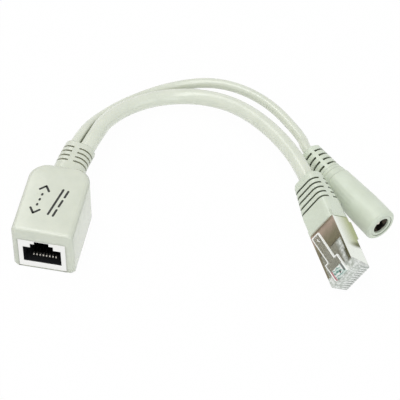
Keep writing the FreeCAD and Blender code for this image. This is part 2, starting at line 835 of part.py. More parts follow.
def make_barrel_housing():
    """Mould the power socket's soft housing: body, collar and slotted strain relief, round a bore."""
    body = new_body("barrel_housing")
    collar_end = "(barrel_length + collar_length)"
    for name, rings in (
        ("grip", [
            ("0", "barrel_radius - barrel_bevel"), ("barrel_bevel", "barrel_radius"),
            ("barrel_straight", "barrel_radius"), ("barrel_length", "barrel_tail_radius"),
        ]),
        ("collar", [("barrel_length", "barrel_tail_radius - ring_cut"), (collar_end, "collar_radius")]),
        ("tail", [
            (collar_end, "collar_radius - ring_cut"), (f"{BARREL_END} - barrel_bevel", "tail_radius"),
            (BARREL_END, "tail_radius - barrel_bevel"),
        ]),
    ):
        sections = [
            many_sided(body, f"{name}_{number}", depth, Vector(0, 0, 0), radius, BARREL_SIDES)
            for number, (depth, radius) in enumerate(rings)
        ]
        loft_through(body, f"{name}_loft", sections)
    for name, depth, radius, length in (
        ("recess", "0", "face_ring_radius", "face_step"),
        ("lip", "face_step", "lip_radius", "lip_length"),
        ("seat", "face_step + lip_length", "core_radius + core_gap", "core_length + core_gap"),
    ):
        bore = front_sketch(body, name, depth)
        circle(bore, "0", "0", radius)
        cut_back(body, bore, length)
    for row in range(TAIL_SLOTS):
        depth = f"tail_first_slot + {row} * tail_slot_pitch"
        share = f"(({depth} - {collar_end}) / (tail_length - barrel_bevel))"
        narrowing = f"(collar_radius - ring_cut - tail_radius) * {share}"
        radius = value(f"collar_radius - ring_cut - {narrowing} - tail_slot_cut")
        slot = front_sketch(body, f"slot_{row + 1}", depth)
        for side in (-HALF_TURN / 2, HALF_TURN / 2):
            groove_side(
                slot, (radius, radius), radius, value("tail_web / 2"), 0, side + value("tail_web_turn"),
            )
        cut_groove(body, slot, "tail_slot_width")
    return body


def make_barrel_core():
    """Turn the power socket's black insulator: a cup with the pin's hole in its floor."""
    front = "(face_step + lip_length)"
    floor = f"({front} + bore_depth)"
    body = turned("barrel_core", [
        ("bore_radius", front), ("core_radius", front), ("core_radius", f"{front} + core_length"),
        ("pin_root_radius + core_gap", f"{front} + core_length"), ("pin_root_radius + core_gap", floor),
        ("bore_radius", floor),
    ])
    return body


def make_barrel_pin():
    """Turn the power socket's centre pin: a rounded tip, a shoulder on the bore's floor and a root."""
    floor = "(face_step + lip_length + bore_depth)"
    back = "(face_step + lip_length + core_length)"
    body = turned("barrel_pin", [
        ("0", "pin_setback"), ("pin_radius / 2", "pin_setback"),
        ("pin_radius", "pin_setback + pin_radius / 2"), ("pin_radius", f"{floor} - core_gap"),
        ("pin_root_radius", f"{floor} - core_gap"), ("pin_root_radius", f"{back} - core_gap"),
        ("0", f"{back} - core_gap"),
    ])
    return body


def make_barrel_spring():
    """Bend the flat side contact that bows inwards from the wall of the power socket's bore."""
    body = new_body("barrel_spring")
    floor = "(face_step + lip_length + bore_depth)"
    out = "-(bore_radius - spring_seat)"
    middle = f"((spring_start + {floor}) / 2)"
    sketch = sketch_on(body, "strip", "XY_Plane")
    outline(sketch, [
        (out, floor), (out, f"{floor} - spring_sheet * 4"), (f"{out} + spring_bow", middle),
        (out, "spring_start"), (f"{out} + spring_sheet", "spring_start"),
        (f"{out} + spring_bow + spring_sheet", middle),
        (f"{out} + spring_sheet", f"{floor} - spring_sheet * 4"), (f"{out} + spring_sheet", floor),
    ])
    grow_wide(body, sketch, "spring_width")
    return body


def cord_path(points, name):
    """Join straight runs by tangent arcs, each as large as its two runs allow, and print the radii."""
    edges, radii, start = [], [], points[0]
    for before, corner, after in zip(points, points[1:], points[2:]):
        back, ahead = (before - corner), (after - corner)
        trim = 0.45 * min(back.Length, ahead.Length)
        half_turn = (math.pi - back.getAngle(ahead)) / 2
        radius = trim / math.tan(half_turn)
        back.normalize()
        ahead.normalize()
        inward = (back + ahead).normalize()
        enter, leave = corner + back * trim, corner + ahead * trim
        middle = corner + inward * (radius / math.cos(half_turn) - radius)
        edges.append(Part.LineSegment(start, enter).toShape())
        edges.append(Part.Arc(enter, middle, leave).toShape())
        radii.append(round(radius, 1))
        start = leave
    edges.append(Part.LineSegment(start, points[-1]).toShape())
    runs = [round((after - before).Length, 1) for before, after in zip(points, points[1:])]
    print(f"{name}: runs {runs} radii {radii}")
    return Part.Wire(edges)


def make_cord(name, points, diameter):
    """Sweep a many-sided cord along its route and check its volume against its section and length."""
    path = cord_path(points, name)
    ahead = (points[1] - points[0]).normalize()
    spoke = ahead.cross(Vector(0, 0, 1)).normalize() * (diameter / 2)
    rim = [
        points[0] + Rotation(ahead, 2 * HALF_TURN * side / CORD_SIDES).multVec(spoke)
        for side in range(CORD_SIDES + 1)
    ]
    section = Part.makePolygon(rim)
    tube = path.makePipeShell([section], True, False)
    expected = Part.Face(section).Area * path.Length
    print(f"{name}: length {path.Length:.1f} mm, volume {tube.Volume:.1f}, expected {expected:.1f}")
    cord = DOC.addObject("Part::Feature", name)
    cord.Label = name
    cord.Shape = tube
    PIECES.append(cord)
    return cord


def pose_of(right, back, up, turns):
    """Place a group of pieces as it lies, from the middle of the block's front."""
    rotation = Rotation()
    for axis, angle in turns:
        rotation = rotation * Rotation(axis, value(angle))
    place = Vector(value(right), value(back) - value(SOCKET_MIDDLE), value(up))
    return Placement(place, rotation)


def socket_point(across, along):
    """Give a point of the bent strain relief and the way it heads, in the part's frame."""
    turn = along / relief_bend()
    bend = relief_bend()
    heading = Vector(math.sin(turn), math.cos(turn), 0)
    side = Vector(math.cos(turn), -math.sin(turn), 0)
    back = value(f"housing_length - {SOCKET_MIDDLE}")
    middle = Vector(bend * (1 - math.cos(turn)), back + bend * math.sin(turn), value("exit_height"))
    return middle + side * across, heading


def route(across, free_points, pose, end):
    """Run a cord from its hole in the strain relief through its free points to the far piece."""
    start, heading = socket_point(value(across), value("relief_length"))
    back = value(SOCKET_MIDDLE)
    points = [Vector(x, y - back, z) for x, y, z in free_points]
    points[0] = start + heading * (points[0] - start).dot(heading)
    finish = pose.multVec(Vector(0, value(end), 0))
    inward = (pose.multVec(Vector(0, 1, 0)) - pose.multVec(Vector(0, 0, 0))).normalize()
    points[-1] = finish + inward * (points[-1] - finish).dot(inward)
    return [start] + points + [finish]


def place(pieces, pose):
    """Give every piece of a group the same placement."""
    for piece in pieces:
        piece.Placement = pose


def check_and_export():
    """Stop if anything failed to build, then write one file for each piece."""
    DOC.recompute()
    for thing in DOC.Objects:
        if {"Invalid", "Error"} & set(thing.State):
            raise RuntimeError(f"{thing.Name} did not build: {thing.State}")
    os.makedirs("parts", exist_ok=True)
    for piece in PIECES:
        shape = piece.Shape
        if shape.isNull() or not shape.isValid() or len(shape.Solids) != 1:
            raise RuntimeError(f"{piece.Label} has no single valid solid")
        shape.exportStep(f"parts/{piece.Label}.step")
    print(f"{len(PIECES)} pieces written")


def main():
    """Build every piece, lay the groups out and write the files."""
    fill_sheet()
    middle = value(SOCKET_MIDDLE)
    place([make_housing()], Placement(Vector(0, -middle, 0), Rotation()))
    jack_place = Vector(-value("jack_offset"), value("jack_setback") - middle, 0)
    jack = [make_jack_shield(), make_jack_body(), make_contact_carrier(), make_circuit_board()]
    jack += [make_jack_contact(index) for index in range(CONTACTS)]
    place(jack, Placement(jack_place, Rotation()))

    across, along, up = Vector(1, 0, 0), Vector(0, 1, 0), Vector(0, 0, 1)
    plug_turns = [(up, "plug_yaw"), (across, "plug_tilt"), (along, "plug_roll")]
    plug_pose = pose_of("plug_right", "plug_back", "plug_up", plug_turns)
    plug = [make_plug_body(), make_plug_shield(), make_plug_boot()]
    plug += [make_plug_blade(index) for index in range(CONTACTS)]
    plug += [make_plug_wire(index) for index in range(CONTACTS)]
    place(plug, plug_pose)

    barrel_pose = pose_of("barrel_right", "barrel_back", "barrel_radius", [(up, "barrel_yaw")])
    barrel = [make_barrel_housing(), make_barrel_core(), make_barrel_pin(), make_barrel_spring()]
    place(barrel, barrel_pose)

    data_across = "(power_cord_diameter + cord_gap) / 2"
    power_across = "-(data_cord_diameter + cord_gap) / 2"
    data_points = route(data_across, DATA_ROUTE, plug_pose, BOOT_END)
    power_points = route(power_across, POWER_ROUTE, barrel_pose, BARREL_END)
    make_cord("data_cord", data_points, value("data_cord_diameter"))
    make_cord("power_cord", power_points, value("power_cord_diameter"))
    check_and_export()


main()
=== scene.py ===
"""Looks of a passive power over Ethernet injector lead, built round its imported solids.

A moulded network socket lies on a pale table. Two cords run from it, the thicker one to a shielded
network plug and the thinner one to a barrel power socket. Lengths are in metres unless a name ends
in _mm, and every piece is placed in the frame of the solids.
"""

from __future__ import annotations

import json
import logging
import math
from dataclasses import dataclass
from enum import Enum
from typing import Any, Sequence

import bpy
import numpy as np
from mathutils import Matrix, Vector

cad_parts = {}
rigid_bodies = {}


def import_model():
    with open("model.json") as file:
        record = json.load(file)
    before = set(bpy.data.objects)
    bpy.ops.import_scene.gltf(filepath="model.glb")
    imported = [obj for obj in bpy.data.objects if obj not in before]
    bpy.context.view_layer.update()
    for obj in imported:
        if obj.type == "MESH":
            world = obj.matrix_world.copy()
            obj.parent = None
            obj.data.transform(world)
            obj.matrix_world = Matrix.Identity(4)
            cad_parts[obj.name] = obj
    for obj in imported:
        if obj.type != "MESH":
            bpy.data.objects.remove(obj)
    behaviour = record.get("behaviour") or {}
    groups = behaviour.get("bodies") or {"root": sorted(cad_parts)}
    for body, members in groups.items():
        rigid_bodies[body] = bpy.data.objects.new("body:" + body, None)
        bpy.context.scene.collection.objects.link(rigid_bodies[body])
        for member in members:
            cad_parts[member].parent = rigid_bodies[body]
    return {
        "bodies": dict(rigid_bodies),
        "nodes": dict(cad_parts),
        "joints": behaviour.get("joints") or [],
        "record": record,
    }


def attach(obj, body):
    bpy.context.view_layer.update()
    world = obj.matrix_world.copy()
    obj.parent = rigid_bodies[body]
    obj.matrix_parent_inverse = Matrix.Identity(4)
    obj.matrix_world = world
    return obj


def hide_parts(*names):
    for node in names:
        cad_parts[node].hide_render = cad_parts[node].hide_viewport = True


LOG = logging.getLogger("injector_lead")

MM = 0.001
BODY = "root"
CONTACTS = 8
# Places in _mm count from the middle of the block's front, and the frame starts this far behind it.
SOCKET_MIDDLE_MM = 21.98066
# The range that most values of a noise lie in.
MOST = (0.3, 0.7)
# How far light gets into pale mouldings and sheaths.
SOFT_BODY = {
    "Subsurface_Weight": 0.06,
    "Subsurface_Radius": (1.0, 0.9, 0.6),
    "Subsurface_Scale": 0.6 * MM,
}
WHITE = (1.0, 1.0, 1.0, 1.0)
Colour = tuple[float, float, float]
Point = tuple[float, float, float]
Span = tuple[float, float]
Material = bpy.types.Material


def linear(red: int, green: int, blue: int) -> Colour:
    """Turn a display colour of 0 to 255 into linear light.

    Args:
        red: Red level.
        green: Green level.
        blue: Blue level.

    Returns:
        The three levels in linear light, from 0 to 1.
    """
    levels = [level / 255 for level in (red, green, blue)]
    return tuple(c / 12.92 if c <= 0.04045 else ((c + 0.055) / 1.055) ** 2.4 for c in levels)


# ---------------- shader maths


class Signal:
    """One output socket of a node tree, with the usual operators."""

    def __init__(self, tree: "Shading", socket: bpy.types.NodeSocket) -> None:
        """Keep a socket and the tree that it belongs to.

        Args:
            tree: The tree that new Math nodes go into.
            socket: The output socket.
        """
        self.tree = tree
        self.socket = socket

    def _math(self, operation: str, *values: Any) -> "Signal":
        """Add one Math node for an operation on this value and others."""
        return self.tree.add("ShaderNodeMath", {"operation": operation}, dict(enumerate(values)))

    def __add__(self, other: Any) -> "Signal":
        """Add two values."""
        return self._math("ADD", self, other)

    __radd__ = __add__

    def __sub__(self, other: Any) -> "Signal":
        """Take a value away."""
        return self._math("SUBTRACT", self, other)

    def __rsub__(self, other: Any) -> "Signal":
        """Take this value away from another."""
        return self._math("SUBTRACT", other, self)

    def __mul__(self, other: Any) -> "Signal":
        """Multiply two values."""
        return self._math("MULTIPLY", self, other)

    __rmul__ = __mul__

    def __truediv__(self, other: Any) -> "Signal":
        """Divide by a value."""
        return self._math("DIVIDE", self, other)

    def __pow__(self, other: Any) -> "Signal":
        """Raise to a power."""
        return self._math("POWER", self, other)

    def above(self, level: float) -> "Signal":
        """Give 1 where this value is above a level, and 0 elsewhere."""
        return self._math("GREATER_THAN", self, level)

    def between(self, low: float, high: float) -> "Signal":
        """Give 1 where this value is between two levels, and 0 elsewhere."""
        return self.above(low) * (1.0 - self.above(high))

    def clamped(self) -> "Signal":
        """Keep this value between 0 and 1."""
        return self.tree.add("ShaderNodeClamp", {}, {"Value": self})

    def size(self) -> "Signal":
        """Drop this value's sign."""
        return self._math("ABSOLUTE", self)

    def fraction(self) -> "Signal":
        """Give what is left of this value above the whole number below it."""
        return self._math("FRACT", self)

    def ramp(self, low: float, high: float, start: float = 0.0, end: float = 1.0) -> "Signal":
        """Map this value from one range to another, held at both ends.

        Args:
            low: Where the first range starts.
            high: Where the first range ends.
            start: What low becomes.
            end: What high becomes.

        Returns:
            The mapped value.
        """
        ends = {"From Min": low, "From Max": high, "To Min": start, "To Max": end}
        return self.tree.add("ShaderNodeMapRange", {"clamp": True}, {"Value": self, **ends})

    def fall(self, low: float, high: float, start: float = 1.0) -> "Signal":
        """Map this value from a range to a start level that falls to 0."""
        return self.ramp(low, high, start, 0.0)

    def near(self, middle: float, inner: float, outer: float, start: float = 1.0) -> "Signal":
        """Give a start level up to an inner distance from a middle, and 0 from an outer one on."""
        return (self - middle).size().fall(inner, outer, start)


class Shading:
    """The node tree of a material, or of the world, written as expressions."""

    def __init__(self, name: str, kind: str = "materials") -> None:
        """Start an empty tree.

        Args:
            name: The material's or the world's name.
            kind: Which of Blender's lists it goes into.
        """
        self.owner = getattr(bpy.data, kind).new(name)
        self.owner.use_nodes = True
        self.nodes = self.owner.node_tree.nodes
        self.links = self.owner.node_tree.links
        self.nodes.clear()

    def add(
        self, kind: str, settings: dict[str, Any], inputs: dict[Any, Any], output: Any = 0
    ) -> Signal:
        """Add one node.

        Args:
            kind: The node's type.
            settings: Properties that are set before the inputs.
            inputs: Values or signals by socket name or number.
            output: The output socket that is wanted.

        Returns:
            That output as a signal.
        """
        node = self.nodes.new(kind)
        for name, setting in settings.items():
            setattr(node, name, setting)
        for name, value in inputs.items():
            if isinstance(value, Signal):
                self.links.new(value.socket, node.inputs[name])
            else:
                node.inputs[name].default_value = value
        return Signal(self, None if output is None else node.outputs[output])

    def place(self, pose: "Pose | None" = None) -> Signal:
        """Give the place on the surface in metres.

        Args:
            pose: The group whose own frame is wanted, or None for the part's.

        Returns:
            The place as a vector.
        """
        here = self.add("ShaderNodeTexCoord", {}, {}, "Object")
        if pose is None:
            return here
        turn = pose.matrix.to_euler()
        settings = {"vector_type": "TEXTURE"}
        inputs = {"Vector": here, "Location": pose.matrix.to_translation(), "Rotation": turn}
        return self.add("ShaderNodeMapping", settings, inputs)

    def millimetres(self, here: Signal) -> list[Signal]:
        """Give how far across, along and up a place is, in millimetres."""
        return [self.component(here, axis) / MM for axis in "XYZ"]

    def noise(self, where: Signal, size: float, detail: float = 2.0, rough: float = 0.5) -> Signal:
        """Give cloudy noise whose features are about a size across.

        Args:
            where: The place on the surface.
            size: Feature size in metres.
            detail: Octaves of finer noise.
            rough: Strength of the finer noise.

        Returns:
            A value about 0.5.
        """
        inputs = {"Vector": where, "Scale": 1 / size, "Detail": detail, "Roughness": rough}
        return self.add("ShaderNodeTexNoise", {}, inputs)

    def blend(self, share: Any, first: Any, second: Any) -> Signal:
        """Mix two colours.

        Args:
            share: The share of the second colour.
            first: The first colour.
            second: The second colour.

        Returns:
            The mixed colour.
        """
        pair = (first, second)
        first, second = (value if isinstance(value, Signal) else (*value, 1.0) for value in pair)
        inputs = {"Factor": share, 6: first, 7: second}
        return self.add("ShaderNodeMix", {"data_type": "RGBA"}, inputs, 2)

    def bump(self, height: Signal, depth: float, under: "Signal | None" = None) -> Signal:
        """Turn a height into a surface normal.

        Args:
            height: Height from 0 to 1.
            depth: The height of 1, in metres.
            under: A normal to start from.

        Returns:
            The bent normal.
        """
        inputs: dict[str, Any] = {"Height": height, "Distance": depth, "Strength": 1.0}
        if under is not None:
            inputs["Normal"] = under
        return self.add("ShaderNodeBump", {}, inputs)

    def component(self, vector: Signal, axis: str) -> Signal:
        """Take X, Y or Z of a vector."""
        return self.add("ShaderNodeSeparateXYZ", {}, {"Vector": vector}, axis)

    def dot(self, first: Signal, second: "Signal | Vector") -> Signal:
        """Give the dot product of two vectors."""
        settings = {"operation": "DOT_PRODUCT"}
        return self.add("ShaderNodeVectorMath", settings, {0: first, 1: second}, "Value")

    def facing(self, axis: Vector) -> Signal:
        """Tell how far the surface faces along an axis of the part, from -1 to 1."""
        return self.dot(self.add("ShaderNodeTexCoord", {}, {}, "Normal"), axis)

    def openness(self, reach: float, alone: bool = True) -> Signal:
        """Tell how open the surface is: 1 on a face, less in a groove or beside another piece.

        Args:
            reach: How far away a wall still counts, in metres.
            alone: Whether only the piece's own walls count.

        Returns:
            The open share.
        """
        settings = {"samples": 8, "only_local": alone}
        return self.add("ShaderNodeAmbientOcclusion", settings, {"Distance": reach}, "AO")

    def soft_edges(self, radius: "float | Signal") -> Signal:
        """Give a normal that rounds edges by a radius in metres."""
        return self.add("ShaderNodeBevel", {"samples": 8}, {"Radius": radius})

    def edges(self, radius: float) -> Signal:
        """Tell where a fold or corner is within a radius in metres: 1 on it, 0 on open faces."""
        normal = self.add("ShaderNodeNewGeometry", {}, {}, "Normal")
        return self.dot(self.soft_edges(radius), normal).fall(0.85, 0.99)

    def seen(self) -> Signal:
        """Tell which rays see the surroundings, also in a mirror or through glass.

        Returns:
            1 for such rays, and 0 for rays that gather light.
        """
        seen, mirrored, through = (
            self.add("ShaderNodeLightPath", {}, {}, f"Is {kind} Ray")
            for kind in ("Camera", "Glossy", "Transmission")
        )
        return (seen + mirrored + through).clamped()

    def surface(self, **inputs: Any) -> Signal:
        """Give a principled surface.

        Args:
            **inputs: Values or signals by socket name, with spaces as underscores.

        Returns:
            The surface.
        """
        named = {}
        for name, value in inputs.items():
            is_colour = name.endswith("Color") and not isinstance(value, Signal)
            named[name.replace("_", " ")] = (*value, 1.0) if is_colour else value
        return self.add("ShaderNodeBsdfPrincipled", {}, named)

    def close(self, surface: Signal) -> Material:
        """End the tree with a surface and give the material."""
        self.add("ShaderNodeOutputMaterial", {}, {"Surface": surface}, None)
        return self.owner

    def finish(self, **inputs: Any) -> Material:
        """Close the tree with one principled surface, given as surface() takes it."""
        return self.close(self.surface(**inputs))


# ---------------- places


@dataclass(frozen=True)
class Pose:
    """Where a group of pieces lies: its origin in millimetres and its turns in degrees."""

    right_mm: float
    back_mm: float
    up_mm: float
    yaw: float = 0.0
    tilt: float = 0.0
    roll: float = 0.0

    def axis(self, index: int) -> Vector:
        """Give the direction of one of the group's own axes in the part's frame."""
        return self.matrix.to_3x3().col[index]

    @property
    def matrix(self) -> Matrix:
        """Give the group's frame.

        Returns:
            The frame as a matrix in metres.
        """
        turns = (("Z", self.yaw), ("X", self.tilt), ("Y", self.roll))
        rotation = Matrix.Identity(4)
        for axis, angle in turns:
            rotation = rotation @ Matrix.Rotation(math.radians(angle), 4, axis)
        middle = Vector((self.right_mm, self.back_mm - SOCKET_MIDDLE_MM, self.up_mm)) * MM
        return Matrix.Translation(middle) @ rotation

    def to_part(self, points_mm: np.ndarray) -> np.ndarray:
        """Carry points of the group, in millimetres, to the part's frame in metres."""
        matrix = np.array(self.matrix)
        return points_mm * MM @ matrix[:3, :3].T + matrix[:3, 3]


SOCKET_POSE = Pose(0.0, 0.0, 0.0)
PLUG_POSE = Pose(94.1, 10.61, 6.66, 29.07, 3.47, -55.99)
BARREL_POSE = Pose(100.45, 33.7, 5.42, 46.4)


# ---------------- finishes

# The skin of the boot and of the power socket, and its shade.
COOL_SKIN = (linear(219, 227, 210), linear(210, 218, 200))


@dataclass(frozen=True)
class SoftMoulding:
    """Pale flexible moulding: satin skin, fine grain, faint clouding, painted shade in grooves."""

    name: str = "soft_moulding"
    colour: Colour = linear(218, 222, 206)
    shade: Colour = linear(209, 214, 198)
    # The colour of the painted shade in grooves, and how far a wall reaches to cast it.
    groove: Colour = linear(168, 170, 146)
    groove_shade_reach_mm: float = 0.9
    roughness: float = 0.28
    cloud_mm: float = 6.0
    grain_mm: float = 0.22
    grain_depth: float = 5e-6
    edge_mm: float = 0.3
    gloss: float = 0.85

    def lines(self, tree: Shading) -> Any:
        """Tell where painted shade lines run in the skin, from 0 to 1."""
        return 0.0

    def edge_radius(self, tree: Shading, here: Signal) -> Any:
        """Give the radius that edges are rounded by, in metres."""
        return self.edge_mm * MM

    def material(self) -> Material:
        """Write the finish.

        Returns:
            The material.
        """
        tree = Shading(self.name)
        here = tree.place()
        clouds = tree.noise(here, self.cloud_mm * MM, 4.0, 0.6).ramp(*MOST)
        grain = tree.noise(here, self.grain_mm * MM, 3.0, 0.7)
        skin = tree.blend(clouds, self.shade, self.colour)
        # Painted shade: darker towards the groove colour in grooves and recesses, and along painted
        # shade lines.
        open_share = tree.openness(self.groove_shade_reach_mm * MM)
        depth = (open_share.fall(0.35, 0.85) + self.lines(tree)).clamped()
        rounded = tree.soft_edges(self.edge_radius(tree, here))
        return tree.finish(
            Base_Color=tree.blend(depth, skin, self.groove),
            Roughness=grain.ramp(*MOST, self.roughness - 0.06, self.roughness + 0.06),
            Normal=tree.bump(grain, self.grain_depth, rounded),
            Specular_IOR_Level=self.gloss,
            **SOFT_BODY,
        )


@dataclass(frozen=True)
class BlockMoulding(SoftMoulding):
    """The network socket's moulding: its block has generous edges, its strain relief fine ones."""

    block_edge_mm: float = 2.0
    block_end_mm: Span = (27.0, 29.0)

    def edge_radius(self, tree: Shading, here: Signal) -> Signal:
        """Give the radius that edges are rounded by, in metres: less behind the block."""
        along = tree.component(here, "Y") / MM + SOCKET_MIDDLE_MM
        return along.ramp(*self.block_end_mm, self.block_edge_mm * MM, self.edge_mm * MM)


@dataclass(frozen=True)
class RingedMoulding(SoftMoulding):
    """The power socket's moulding, with painted shade lines at the fine rings of its collar and
    face.
    """

    collar_mm: tuple[float, ...] = (22.5, 24.9, 26.2)
    collar_share: float = 0.4
    face_mm: float = 0.4
    face_radius_mm: float = 3.9
    face_share: float = 0.35
    line_mm: float = 0.16
    pose: Pose = BARREL_POSE

    def lines(self, tree: Shading) -> Signal:
        """Tell where painted shade lines of the rings run: along the axis at set places, on the
        face at a radius.

        Args:
            tree: The material's tree.

        Returns:
            The rings' share, from 0 to 1.
        """
        across, along, up = tree.millimetres(tree.place(self.pose))
        radius = (across * across + up * up) ** 0.5
        mask = radius.near(self.face_radius_mm, 0.0, self.line_mm, self.face_share)
        mask = mask * (1.0 - along.above(self.face_mm))
        for place in self.collar_mm:
            mask = mask + along.near(place, 0.0, self.line_mm, self.collar_share)
        return mask


@dataclass(frozen=True)
class CordSheath:
    """Extruded sheath: smooth and glossy with faint waves, with painted shade close to its
    neighbour.
    """

    name: str = "cord_sheath"
    colour: Colour = linear(224, 228, 213)
    shade: Colour = linear(216, 221, 205)
    # The colour of the painted shade beside other pieces, and how far it reaches.
    contact_shade: Colour = linear(112, 116, 92)
    contact_shade_reach_mm: float = 1.3
    cloud_mm: float = 5.0
    ripple_mm: float = 2.2
    ripple_depth: float = 4e-6
    grain_mm: float = 0.12
    roughness: float = 0.24
    gloss: float = 0.75

    def material(self) -> Material:
        """Write the finish.

        Returns:
            The material.
        """
        tree = Shading(self.name)
        here = tree.place()
        clouds = tree.noise(here, self.cloud_mm * MM, 3.0, 0.55).ramp(*MOST)
        ripple = tree.noise(here, self.ripple_mm * MM)
        grain = tree.noise(here, self.grain_mm * MM, 2.0, 0.6)
        open_share = tree.openness(self.contact_shade_reach_mm * MM, alone=False)
        skin = tree.blend(clouds, self.shade, self.colour)
        return tree.finish(
            # Painted shade: darker where another piece comes close.
            Base_Color=tree.blend(open_share.fall(0.2, 0.7, 0.8), skin, self.contact_shade),
            Roughness=ripple.ramp(*MOST, self.roughness - 0.04, self.roughness + 0.06),
            Normal=tree.bump(grain * 0.15 + ripple, self.ripple_depth),
            Coat_Weight=self.gloss,
            Coat_Roughness=0.2,
            **SOFT_BODY,
        )


@dataclass(frozen=True)
class ClearPlastic:
    """Clear moulding of the plug: clear over the conductors, cloudy where ribs scatter light, with
    painted light and shade.
    """

    name: str = "clear_plastic"
    clear: Colour = (0.97, 0.99, 0.97)
    # The white of the painted highlights on ribs and lever edges, also used in the root's painted
    # view.
    bright: Colour = linear(253, 254, 250)
    light: Colour = linear(240, 243, 238)
    grey: Colour = linear(202, 208, 198)
    # The painted shade between the nose's ribs.
    rib_gap_shade: Colour = linear(168, 176, 168)
    # The painted olive shade under the lever, and the painted shadow near its corner.
    olive: Colour = linear(158, 155, 137)
    shadow: Colour = linear(98, 95, 74)
    mint: Colour = linear(216, 236, 227)
    roughness: float = 0.05
    flow_mm: float = 0.9
    flow_depth: float = 1.6e-5
    # Painted colours of the conductors seen through the lever's root, and the dark colour of a
    # painted shadow on it.
    teal: Colour = linear(92, 150, 138)
    pink: Colour = linear(196, 104, 112)
    ink: Colour = linear(46, 52, 44)
    # Where the lever's root ends along the plug, and its left and right.
    root_mm: tuple[float, float, float] = (3.3, -2.3, 1.6)
    mark_pitch_mm: float = 0.95
    # Where the painted shadow line and spot lie.
    shadow_line_mm: Span = (2.2, 0.9)
    shadow_spot_mm: Span = (0.45, 1.6)
    # The ribs' pitch, and the level up to which they are full.
    comb_mm: Span = (1.02, -0.4)
    comb_end_mm: Span = (5.0, 6.0)
    shade_side_mm: Span = (2.2, 3.4)
    shade_start_mm: Span = (3.0, 4.0)
    corner_side_mm: Span = (4.0, 4.5)
    corner_start_mm: Span = (2.4, 3.4)
    corner_end_mm: Span = (7.0, 9.0)
    # Half widths of the lever's foot and of its blade, then where its shoulders and its tip are.
    lever_mm: tuple[float, float, float, float] = (3.05, 1.65, 6.3, 15.2)
    rim_mm: float = 0.34
    bar_along_mm: Span = (12.7, 13.8)
    bar_across_mm: Span = (0.1, 0.4)
    lever_foot_mm: float = 3.25
    pose: Pose = PLUG_POSE

    def root_colour(self, tree: Shading, across: Signal, along: Signal, flow: Signal) -> Signal:
        """Give the painted colours that the lever's root shows of the conductors under it, and a
        painted shadow.

        Args:
            tree: The material's tree.
            across: The place across the plug in millimetres.
            along: The place along the plug in millimetres.
            flow: Cloudy noise.

        Returns:
            The colour.
        """
        _, left, right = self.root_mm
        # Painted view through the plastic: teal and pink conductors in streaks on a mint ground.
        turns = (along / self.mark_pitch_mm + flow * 1.4 + across * 0.12).fraction()
        streaks = turns.ramp(0.5, 0.62) * turns.fall(0.86, 0.96)
        ground = tree.blend(flow.ramp(0.4, 0.6), self.mint, self.bright)
        seen = tree.blend(streaks * across.ramp(right - 0.6, right, 0.9, 0.1), ground, self.teal)
        seen = tree.blend(across.fall(left, left + 0.4, 0.9), seen, self.pink)
        # Painted shadow: a dark line along the lever's root and a dark spot on it, both in the
        # colour named ink.
        side_across, side_along = self.shadow_line_mm
        side = across.near(side_across, 0.25, 0.45) * along.above(side_along)
        spot_across, spot_along = self.shadow_spot_mm
        spot = across.near(spot_across, 0.2, 0.4) * along.near(spot_along, 0.3, 0.5)
        return tree.blend((side * 0.85 + spot).clamped(), seen, self.ink)

    def lever_rim_highlight(self, across: Signal, along: Signal) -> Signal:
        """Tell where painted highlights run on the lever's edges: its sides, shoulders and tip, and
        its bar.

        Args:
            across: The place across the plug in millimetres.
            along: The place along the plug in millimetres.

        Returns:
            1 on an edge, and 0 elsewhere.
        """
        wide, slim, shoulder, tip = self.lever_mm
        half = wide - along.above(shoulder) * (wide - slim)
        rim = (across.size() - half).above(-self.rim_mm) + along.above(tip - self.rim_mm)
        step = along.between(shoulder - self.rim_mm, shoulder)
        rim = rim + step * across.size().above(slim - self.rim_mm)
        bar = along.between(*self.bar_along_mm) * across.between(*self.bar_across_mm)
        return (rim + bar).clamped()

    def core_colour(self, tree: Shading, place: Sequence[Signal], flow: Signal) -> Signal:
        """Give the cloudy core's colour: painted rib highlights and shade, painted olive shade and
        shadow by the lever.

        Args:
            tree: The material's tree.
            place: The place across, along and up in millimetres.
            flow: Cloudy noise.

        Returns:
            The colour.
        """
        across, along, up = place
        pitch, comb_top = self.comb_mm
        # Painted highlight and shade on the nose's ribs: bright on each rib, darker between them.
        rib = ((across / pitch).fraction() - 0.5).size().ramp(0.14, 0.3)
        comb = up.fall(comb_top, comb_top + 0.5, 0.8) * along.fall(*self.comb_end_mm)
        nose = tree.blend(flow.ramp(0.38, 0.62), self.grey, self.light)
        nose = tree.blend(comb, nose, tree.blend(rib, self.rib_gap_shade, self.bright))
        # Painted shade on the top: an olive band beside the lever's foot, and a dark shadow near
        # the corner.
        top = tree.facing(self.pose.axis(2)).ramp(0.6, 0.9)
        shaded = top * across.fall(*self.shade_side_mm) * along.ramp(*self.shade_start_mm)
        corner = top * across.ramp(*self.corner_side_mm)
        corner = corner * along.ramp(*self.corner_start_mm) * along.fall(*self.corner_end_mm)
        return tree.blend(corner, tree.blend(shaded * 0.9, nose, self.olive), self.shadow)

    def material(self) -> Material:
        """Write the finish.

        Returns:
            The material.
        """
        tree = Shading(self.name)
        here = tree.place(self.pose)
        place = tree.millimetres(here)
        across, along, up = place
        flow = tree.noise(here, self.flow_mm * MM)
        lever = up.above(self.lever_foot_mm)
        rim = self.lever_rim_highlight(across, along)
        root_end = self.root_mm[0]
        root = lever * along.fall(root_end, root_end + 0.3)
        core = flow.ramp(0.35, 0.65, 0.72, 0.92)
        cloud = lever * (rim * 0.5 + 0.42) + (1.0 - lever) * core + root * 0.4
        normal = tree.bump(flow, self.flow_depth)
        glass = tree.surface(
            Base_Color=self.clear,
            Roughness=flow.ramp(0.35, 0.7, self.roughness, self.roughness + 0.08),
            Normal=normal,
            Transmission_Weight=1.0,
            IOR=1.49,
        )
